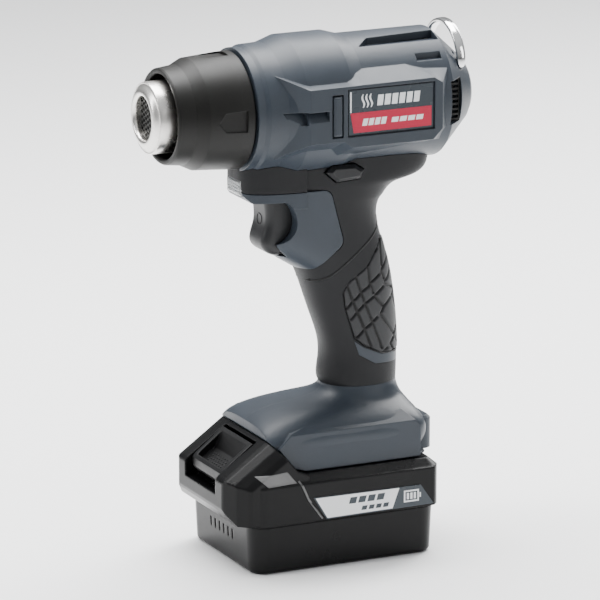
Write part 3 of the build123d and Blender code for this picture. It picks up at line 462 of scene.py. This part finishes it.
def grip_pad(side, name, material):
    """Textured pad at the back of the handle, with grooves that cross."""
    node = "grip_pad_left" if side < 0 else "grip_pad_right"
    trees = surface_of(node)
    rows, columns = PAD_ROWS, PAD_COLUMNS
    points = np.zeros((rows, columns, 3))
    for row, height in enumerate(np.linspace(PAD_BOTTOM, PAD_TOP, rows)):
        middle = by_height(PAD_MIDDLE, height)
        edge_x = by_height(PAD_EDGE, height)
        edge_angle = edge_angle_at(trees, side, middle, edge_x, height)
        for column, angle in enumerate(np.linspace(edge_angle, PAD_LAST_ANGLE, columns)):
            points[row, column] = pad_point(trees, side, middle, angle, height)
    for _ in range(PAD_SMOOTHINGS):
        inner = points[1:-1, 1:-1]
        inner += 0.25 * (
            points[:-2, 1:-1] + points[2:, 1:-1] + points[1:-1, :-2] + points[1:-1, 2:] - 4 * inner
        )
    normals = grid_normals(points, side)
    lines = []
    for groove in PAD_GROOVES:
        lines.append(np.array([pad_point_at(trees, side, x, z) for x, z in densified(groove)]))
    gap = distance_to_lines(points.reshape(-1, 3), lines).reshape(rows, columns) / MM
    edge_lines = [points[0][::6], points[:, 0][::6], points[-1][::6]]
    edge_gap = distance_to_lines(points.reshape(-1, 3), edge_lines).reshape(rows, columns) / MM
    cut = np.clip(1.4 - gap / GROOVE_WIDTH, 0, 1)
    roll = np.clip(1 - edge_gap / ROLL_WIDTH, 0, 1) ** 2
    crown = CROWN_HEIGHT * (1 - np.exp(-gap / CROWN_WIDTH))
    height = crown - GROOVE_DEPTH * cut * cut * (3 - 2 * cut) - ROLL_DEPTH * roll
    outside = points + normals * (height * MM)[:, :, None]
    thickness = PAD_THICKNESS * MM
    inside_gap = (thickness + height * MM)[:, :, None]
    vertices, faces = shell(outside, normals * inside_gap / thickness, thickness, flip=side > 0)
    piece = new_piece(name, vertices, faces, material, "housing", (node,), "pad_rubber")
    # painted shade: how deep each point sits in a groove or on the rolled edge, stored for the pad material
    # to darken
    depth = np.maximum(cut, roll * ROLL_DEPTH).reshape(-1)
    shade = piece.data.attributes.new("groove", "FLOAT", "POINT")
    shade.data.foreach_set("value", np.concatenate((depth, depth)).astype(np.float32))
    return piece


def densified(line):
    """Adds points every millimetre or so along a line."""
    out = []
    for (x0, z0), (x1, z1) in zip(line, line[1:]):
        steps = max(1, int(math.hypot(x1 - x0, z1 - z0)))
        out += [(x0 + (x1 - x0) * i / steps, z0 + (z1 - z0) * i / steps) for i in range(steps)]
    return out + [line[-1]]


def pad_point(trees, side, middle, angle, height):
    """Point of the pad's surface at an angle round the handle, measured from its back."""
    out = Vector((math.cos(angle), side * math.sin(angle), 0))
    centre = Vector((middle, 0, height)) * MM
    hit = cast(trees, centre + out * FAR_OUT, -out)
    if hit is None:
        reach = Vector((out.x * PAD_REACH[0], out.y * PAD_REACH[1], 0)) * MM
        hit, _, _, _ = trees[0].find_nearest(centre + reach)
    return hit


def pad_point_at(trees, side, x, z):
    """Point of the pad's surface seen from the side at x, z."""
    hit = cast(trees, Vector((x * MM, side * FAR_OUT, z * MM)), Vector((0, -side, 0)))
    if hit is None:
        hit, _, _, _ = trees[0].find_nearest(Vector((x * MM, side * NEAR_MIDDLE, z * MM)))
    return hit


def edge_angle_at(trees, side, middle, edge_x, height):
    """Angle round the handle at which the pad's front edge lies."""
    point = pad_point_at(trees, side, edge_x, height)
    return math.atan2(abs(point.y), point.x - middle * MM)


# ---------------------------------------------------------------- seams, labels and small parts

# Parting line of the grip cover, as (x, z) points
SEAM = (
    (33.4, 166.5), (31.5, 163.8), (28.8, 160.6), (25.7, 158.0), (23.1, 155.9), (18.0, 152.2),
    (10.6, 146.4), (2.0, 139.6), (-3.3, 137.2), (-6.6, 136.4), (-8.4, 136.2),
)
# Textured panel on the flank of the battery's nose, light grey as a painted highlight on its texture, and a
# raised rim beside the label whose pale grey is a painted edge highlight, as (x, z) points
CASE_HIGHLIGHT_PANEL = ((-47.6, 49.6), (-31.6, 50.9), (-26.4, 44.6), (-41.8, 44.2))
CASE_HIGHLIGHT_LINE = ((-25.6, 45.6), (-24.2, 43.4), (-20.9, 36.0), (-13.2, 25.4))
# How far the strips reach to each side of their lines and how far they stand out, in mm
SEAM_SIZE = (0.62, 0.16)
CASE_LINE_SIZE = (0.5, 0.18)
CASE_PANEL_LIFT = 0.12


def facing_normals(tree, points, side):
    """Surface normals nearest to the points, evened out along the line and all facing outwards."""
    out = np.array([tuple(tree.find_nearest(Vector(point))[1]) for point in points])
    out *= np.where(out[:, 1:2] * side < -0.2, -1.0, 1.0)
    for _ in range(6):
        out[1:-1] += 0.25 * (out[:-2] + out[2:] - 2 * out[1:-1])
    return out / np.linalg.norm(out, axis=1, keepdims=True)


def ribbon(side, name, node, path, half_width, lift, material, body, slot):
    """Thin raised strip that follows a path of (x, z) points over a CAD node."""
    trees = surface_of(node)
    line = np.array([tuple(pad_point_at(trees, side, x, z)) for x, z in densified(path)])
    out = facing_normals(trees[0], line, side)
    across = np.cross(np.gradient(line, axis=0), out)
    across /= np.linalg.norm(across, axis=1, keepdims=True)
    profile = ((-half_width, 0.02), (-0.65 * half_width, lift), (0.65 * half_width, lift), (half_width, 0.02))
    points = np.stack([line + across * (w * MM) + out * (h * MM) for w, h in profile], axis=1)
    vertices, faces = shell(points, np.repeat(out[:, None, :], len(profile), axis=1), 0.3 * MM, flip=side > 0)
    return new_piece(name, vertices, faces, material, body, (), slot)


def patch(side, name, node, corners, lift, material, body, slot):
    """Thin plate over a four-cornered (x, z) area of a CAD node."""
    trees = surface_of(node)
    rows, columns = 14, 22
    points = np.zeros((rows, columns, 3))
    a, b, c, d = (np.array(corner) for corner in corners)
    for row, v in enumerate(np.linspace(0, 1, rows)):
        for column, u in enumerate(np.linspace(0, 1, columns)):
            x, z = (a * (1 - u) + b * u) * (1 - v) + (d * (1 - u) + c * u) * v
            points[row, column] = pad_point_at(trees, side, x, z)
    normals = grid_normals(points, side)
    vertices, faces = shell(points + normals * lift * MM, normals, 0.4 * MM, flip=side < 0)
    return new_piece(name, vertices, faces, material, body, (), slot)


def flat_plates(name, outlines, side, y, depth, material, body, slot):
    """Thin flat plates with (x, z) outlines in mm, standing on the plane at y."""
    vertices, faces = [], []
    for outline in outlines:
        start = len(vertices)
        count = len(outline)
        for layer in (y, y + depth):
            vertices += [(x * MM, side * layer * MM, z * MM) for x, z in outline]
        front = tuple(range(start + count, start + 2 * count))
        back = tuple(range(start, start + count))[::-1]
        turn = side > 0
        faces.append(front[::-1] if turn else front)
        faces.append(back[::-1] if turn else back)
        for i in range(count):
            j = (i + 1) % count
            face = (start + i, start + j, start + count + j, start + count + i)
            faces.append(face[::-1] if turn else face)
    return new_piece(name, vertices, faces, material, body, (), slot, smooth=False)


def slanted(x0, x1, z0, z1, lean=0.0):
    """A bar with its ends leaning over by lean per millimetre of height."""
    return ((x0, z0), (x1, z0), (x1 + lean * (z1 - z0), z1), (x0 + lean * (z1 - z0), z1))


def heat_wave(x, z, height, width, swing):
    """A wavy stroke that rises from (x, z)."""
    left, right = [], []
    for step in range(13):
        share = step / 12
        middle = x + swing * math.sin(share * 2 * math.pi)
        half = width / 2 * (1 - 0.5 * abs(2 * share - 1) ** 3)
        left.append((middle - half, z + height * share))
        right.append((middle + half, z + height * share))
    return tuple(left + right[::-1])


def barrel_label(side, tag):
    """Printing on the barrel's side plate: crimson band, pale edge line, wave mark and plain bars."""

    def turn(shape):
        return tuple(shape) if side < 0 else tuple((LABEL_MIRROR - x, z) for x, z in shape[::-1])

    band = ((4.6, 214.9), (46.2, 214.9), (46.2, 224.7), (2.8, 224.7))
    line = ((2.6, 225.0), (3.4, 225.0), (3.4, 235.1), (2.6, 235.1))
    waves = [heat_wave(9.6 + 2.1 * i, 226.9, 6.6, 1.0, 0.55) for i in range(3)]
    bars = [slanted(17.0 + 3.9 * i, 20.0 + 3.9 * i, 227.4, 232.6, 0.12) for i in range(6)]
    small = [slanted(9.0 + 3.3 * i, 11.6 + 3.3 * i, 218.1, 221.5, 0.25) for i in range(4)]
    small += [slanted(24.6 + 4.4 * i, 28.2 + 4.4 * i, 218.5, 220.9, 0.25) for i in range(4)]
    layers = (
        ("label_band_", [band], LABEL_FACE, 0.05, PRINT_RED),
        ("label_marks_", waves + bars + [line], LABEL_FACE, 0.06, PRINT_WHITE),
        ("label_small_", small, LABEL_FACE + 0.05, 0.04, PRINT_WHITE),
    )
    for start, shapes, y, depth, material in layers:
        outlines = [turn(shape) for shape in shapes]
        flat_plates(start + tag, outlines, side, y, depth, material, "housing", "label_print")


def battery_print(side, tag):
    """Printing on the battery's side: white field, plain bars and a charge mark."""
    field = ((-17.4, 36.2), (-11.0, 25.6), (24.2, 25.9), (27.9, 35.8))
    bars = [slanted(0.4 + 5.0 * i, 4.2 + 5.0 * i, 31.2, 34.4, 0.3) for i in range(4)]
    bars += [slanted(7.2 + 3.9 * i, 10.0 + 3.9 * i, 27.2, 29.3, 0.3) for i in range(4)]
    mark = [slanted(30.4, 38.6, 33.2, 34.0), slanted(30.4, 38.6, 28.0, 28.8)]
    mark += [slanted(30.4, 31.2, 28.8, 33.2), slanted(37.8, 38.6, 28.8, 33.2)]
    mark += [slanted(38.9, 39.7, 29.8, 32.2)]
    mark += [slanted(32.0 + 1.9 * i, 33.2 + 1.9 * i, 29.4, 32.6) for i in range(3)]
    layers = (
        ("battery_field_", [field], BATTERY_FACE, 0.05, PRINT_WHITE),
        ("battery_bars_", bars, BATTERY_LABEL_FACE, 0.04, PRINT_DARK),
        ("battery_mark_", mark, BATTERY_FACE, 0.06, PRINT_WHITE),
    )
    for start, outlines, y, depth, material in layers:
        flat_plates(start + tag, outlines, side, y, depth, material, "battery", "battery_label")


def hook(material):
    """Chrome strap bent into an arch, with rounded edges."""
    steps, around, tip_steps = 72, 24, 6
    half_width, half_thick, overhang = 2.4, 1.25, 0.12
    points = np.zeros((steps, around, 3))
    for i, angle in enumerate(np.linspace(-overhang, math.pi + overhang, steps)):
        end = min(i, steps - 1 - i)
        shrink = 1.0 if end >= tip_steps else math.sqrt(1 - (1 - end / tip_steps) ** 2 * 0.98)
        for j in range(around):
            turn = 2 * math.pi * j / around
            c, s = math.cos(turn), math.sin(turn)
            x = math.copysign(abs(c) ** 0.62, c) * half_width * shrink
            r = HOOK_RADIUS + math.copysign(abs(s) ** 0.75, s) * half_thick * shrink
            points[i, j] = (HOOK_X + x, r * math.cos(angle), HOOK_Z + r * math.sin(angle))
    vertices = points.reshape(-1, 3) * MM
    faces = tube_faces(steps, around)
    return new_piece("hook_strap", vertices, faces, material, "hook", ("hanging_hook",), "hook_chrome")


def ring_mark(material):
    """Small raised ring on the trigger's face."""
    radius, line, steps, around = 2.6, 0.28, 48, 10
    trees = surface_of("trigger")
    vertices = []
    for i in range(steps):
        angle = 2 * math.pi * i / steps
        y, z = radius * math.cos(angle), RING_HEIGHT + radius * math.sin(angle)
        front = cast(trees, Vector((-0.06, y * MM, z * MM)), Vector((1, 0, 0))).x / MM
        for j in range(around):
            turn = 2 * math.pi * j / around
            reach = radius + line * math.cos(turn)
            x = front - line * 0.8 * math.sin(turn)
            height = RING_HEIGHT + reach * math.sin(angle)
            vertices.append((x * MM, reach * math.cos(angle) * MM, height * MM))
    faces = tube_faces(steps, around, closed=True)
    return new_piece("trigger_ring_mark", vertices, faces, material, "trigger", (), "black_plastic")


def slope_directions(angle):
    """Directions along and out of a slope that rises towards the back."""
    return Vector((math.cos(angle), 0, math.sin(angle))), Vector((-math.sin(angle), 0, math.cos(angle)))


def latch_dots(material):
    """Small domes that roughen the floor of the latch's scoop."""
    trees = surface_of("latch_button")
    around, rows, columns = 8, 5, 9
    pitch, row_pitch = 2.5, 1.6
    rings = ((0.50, -0.1), (0.42, 0.22), (0.2, 0.38))
    vertices, faces = [], []
    floor_along, up = slope_directions(SCOOP_ANGLE)
    for row in range(rows):
        count = columns - row % 2
        for column in range(count):
            y = (column - (count - 1) / 2) * pitch
            middle = Vector((SCOOP_START[0], y, SCOOP_START[1])) + floor_along * (row_pitch * row)
            hit = cast(trees, (middle + Vector((0, 0, 6))) * MM, Vector((0, 0, -1)))
            if hit is None:
                continue
            centre = hit / MM
            start = len(vertices)
            for reach, height in rings:
                for step in range(around):
                    turn = 2 * math.pi * step / around
                    offset = floor_along * (reach * math.cos(turn)) + Vector((0, reach * math.sin(turn), 0))
                    vertices.append((centre + offset + up * height) * MM)
            for ring in range(2):
                for step in range(around):
                    a = start + ring * around + step
                    b = start + ring * around + (step + 1) % around
                    faces.append((a, b, b + around, a + around))
            faces.append(tuple(range(start + 2 * around, start + 3 * around)))
            faces.append(tuple(range(start, start + around))[::-1])
    return new_piece("latch_dots", vertices, faces, material, "latch", (), "black_plastic")


def lamp_facets(material):
    """Prismatic front of the lamp's lens: rows of small pyramids."""
    vertices, faces = [], []
    depth, base, columns, rows = 0.55, 0.3, 7, 4
    width, height = 13.2 / columns, 6.0 / rows
    corners = ((0, 0), (width, 0), (width, height), (0, height))
    for row in range(rows):
        for column in range(columns):
            y, z = -6.6 + width * column, 183.0 + height * row
            start = len(vertices)
            for x in (LENS_FRONT, LENS_FRONT + base):
                vertices += [(x * MM, (y + dy) * MM, (z + dz) * MM) for dy, dz in corners]
            vertices.append(((LENS_FRONT - depth) * MM, (y + width / 2) * MM, (z + height / 2) * MM))
            top = start + 8
            for i in range(4):
                j = (i + 1) % 4
                faces.append((start + j, start + i, top))
                faces.append((start + i, start + j, start + 4 + j, start + 4 + i))
            faces.append((start + 4, start + 5, start + 6, start + 7))
    return new_piece("lamp_facets", vertices, faces, material, "housing", (), "lens", smooth=False)


def coil_mesh(start, end, radius, wire, turns):
    """Vertices and faces of a wound wire between two points, in mm."""
    start, end = Vector(start), Vector(end)
    along = (end - start).normalized()
    side = Vector((0, 1, 0))
    up = along.cross(side)
    per_turn, around = 20, 8
    steps = per_turn * turns + 1
    first, last = start + along * wire, end - along * wire
    vertices = []
    for i in range(steps):
        share = i / (steps - 1)
        angle = 2 * math.pi * i / per_turn
        out = side * math.cos(angle) + up * math.sin(angle)
        centre = first.lerp(last, share) + out * radius
        for j in range(around):
            turn = 2 * math.pi * j / around
            vertices.append((centre + out * (wire * math.cos(turn)) + along * (wire * math.sin(turn))) * MM)
    return vertices, tube_faces(steps, around)


def springs(material):
    """Wound springs of the trigger and the latch."""
    front, back = (-12.9, 0, TRIGGER_SPRING_HEIGHT), (-3.1, 0, TRIGGER_SPRING_HEIGHT)
    vertices, faces = coil_mesh(front, back, 3.9, 0.42, 4)
    replaced = ("trigger_spring",)
    piece = new_piece("trigger_coil", vertices, faces, material, "housing", replaced, "spring_steel")
    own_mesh(piece)
    along, up = slope_directions(SLOPE_ANGLE)
    low, high = 10.7, 17.8
    vertices, faces = [], []
    for y in LATCH_SPRING_SIDES:
        foot = Vector((SLOPE_START[0], y, SLOPE_START[1])) + up * LATCH_SPRING_DEPTH
        more, more_faces = coil_mesh(foot + along * low, foot + along * high, 0.95, 0.22, 5)
        faces += [tuple(i + len(vertices) for i in face) for face in more_faces]
        vertices += more
    replaced = ("latch_springs",)
    piece = new_piece("latch_coils", vertices, faces, material, "battery", replaced, "spring_steel")
    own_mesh(piece)


# ---------------------------------------------------------------- paint

def paint_frame():
    """Gives every CAD node its material."""
    paint(matching("housing_left", "housing_right", "side_bars"), HOUSING)
    paint(matching("grip_cover"), RUBBER)
    paint(matching("grip_pad"), PAD_RUBBER)
    paint(matching("grip_trim"), TRIM)
    paint(["front_shroud"], moulded("shroud_plastic", WARM_BLACK, 0.46, 0.00003, 0.0006, specular=0.25))
    case = moulded("battery_plastic", SATIN_BLACK, 0.30, 0.00002, 0.0014, specular=0.16)
    paint(matching("battery_lower", "battery_upper"), case)
    paint(["trigger", "lock_button"], SATIN)
    paint(["latch_button"], moulded("latch_plastic", SATIN_BLACK, 0.34, 0.00002, 0.0009, specular=0.35))
    dark = moulded("inner_plastic", WARM_BLACK, 0.5, 0.00003, 0.0003)
    inner = ["air_funnel", "shroud_collar", "fan_duct", "impeller", "intake_screens", "trigger_switch"]
    paint(inner + ["terminal_block"] + matching("cell_holder"), dark)
    paint(["nozzle"], steel("nozzle_steel", STEEL, 0.26, tip_colour=(0.80, 0.78, 0.75)))
    paint(["nozzle_grille"], steel("grille_steel", GRILLE_GREY, 0.5))
    paint(["fan_motor", "heater_coil", "trigger_spring", "latch_springs"], steel("motor_steel", STEEL, 0.35))
    paint(["housing_screws"], steel("screw_steel", SCREW_GREY, 0.4))
    paint(matching("cell_strips"), steel("nickel", (0.6, 0.58, 0.52), 0.3))
    paint(["tool_blades", "battery_contacts"], steel("copper", (0.7, 0.42, 0.25), 0.3))
    paint(["mica_sleeve", "heater_former"], moulded("mica", (0.5, 0.42, 0.28), 0.3, fleck=0.3))
    paint(matching("led_board", "control_board", "battery_board"), moulded("board", (0.01, 0.08, 0.03), 0.35))
    paint(["power_leads"], moulded("lead_wire", (0.35, 0.01, 0.01), 0.45))
    paint(matching("battery_cell"), moulded("cell_wrap", (0.02, 0.10, 0.25), 0.25))
    paint(matching("label_plate", "battery_label"), moulded("label_slate", SLATE, 0.28, 0.00001, 0.0002))
    paint(["led_lens"], LENS)
    paint(["hanging_hook"], CHROME)


make_camera()
make_studio()
make_floor()
HOUSING = moulded("housing_plastic", BLUE_GREY, 0.42)
RUBBER = moulded("grip_rubber", CHARCOAL, 0.5, 0.00009, 0.0006, specular=0.22)
# the pad rubber carries painted shade in its grooves and on its rolled edges
PAD_RUBBER = moulded("pad_rubber", PAD_GREY, 0.52, 0.00004, 0.0003, groove=True)
TRIM = moulded("trim_plastic", BLUE_GREY, 0.4, 0.00003, 0.0004)
SATIN = moulded("black_plastic", CHARCOAL, 0.4, 0.00002, 0.0006)
# light grey that paints highlights onto the battery's textured panel and onto the rim beside the label
CASE_HIGHLIGHT_GREY = moulded("case_highlight_grey", (0.11, 0.11, 0.11), 0.42, 0.00005, 0.0002, fleck=0.25)
SEAM_BLACK = moulded("seam_black", (0.002, 0.002, 0.0022), 0.6)
PRINT_RED = moulded("print_red", CRIMSON, 0.3, 0.000005, 0.0001, fleck=0.04)
PRINT_WHITE = moulded("print_white", (0.72, 0.73, 0.74), 0.3, 0.000005, 0.0001, fleck=0.03)
PRINT_DARK = moulded("print_dark", SLATE, 0.3, 0.000005, 0.0001)
LENS = clear_plastic("lens")
CHROME = steel("hook_chrome", (0.8, 0.8, 0.8), 0.08)
paint_frame()
for side, tag in ((-1, "left"), (1, "right")):
    grip_pad(side, "pad_" + tag, PAD_RUBBER)
    cover = "grip_cover_" + tag
    ribbon(side, "seam_" + tag, cover, SEAM, *SEAM_SIZE, SEAM_BLACK, "housing", "grip_rubber")
    on_case = (CASE_HIGHLIGHT_GREY, "battery", "battery_plastic")
    # textured panel whose light grey is a painted highlight
    patch(side, "case_highlight_panel_" + tag, "battery_upper_case", CASE_HIGHLIGHT_PANEL, CASE_PANEL_LIFT, *on_case)
    # raised rim whose pale grey is a painted edge highlight
    ribbon(side, "case_highlight_line_" + tag, "battery_upper_case", CASE_HIGHLIGHT_LINE, *CASE_LINE_SIZE, *on_case)
    barrel_label(side, tag)
    battery_print(side, tag)
hook(CHROME)
ring_mark(SEAM_BLACK)
latch_dots(SATIN)
springs(CHROME)
lamp_facets(LENS)
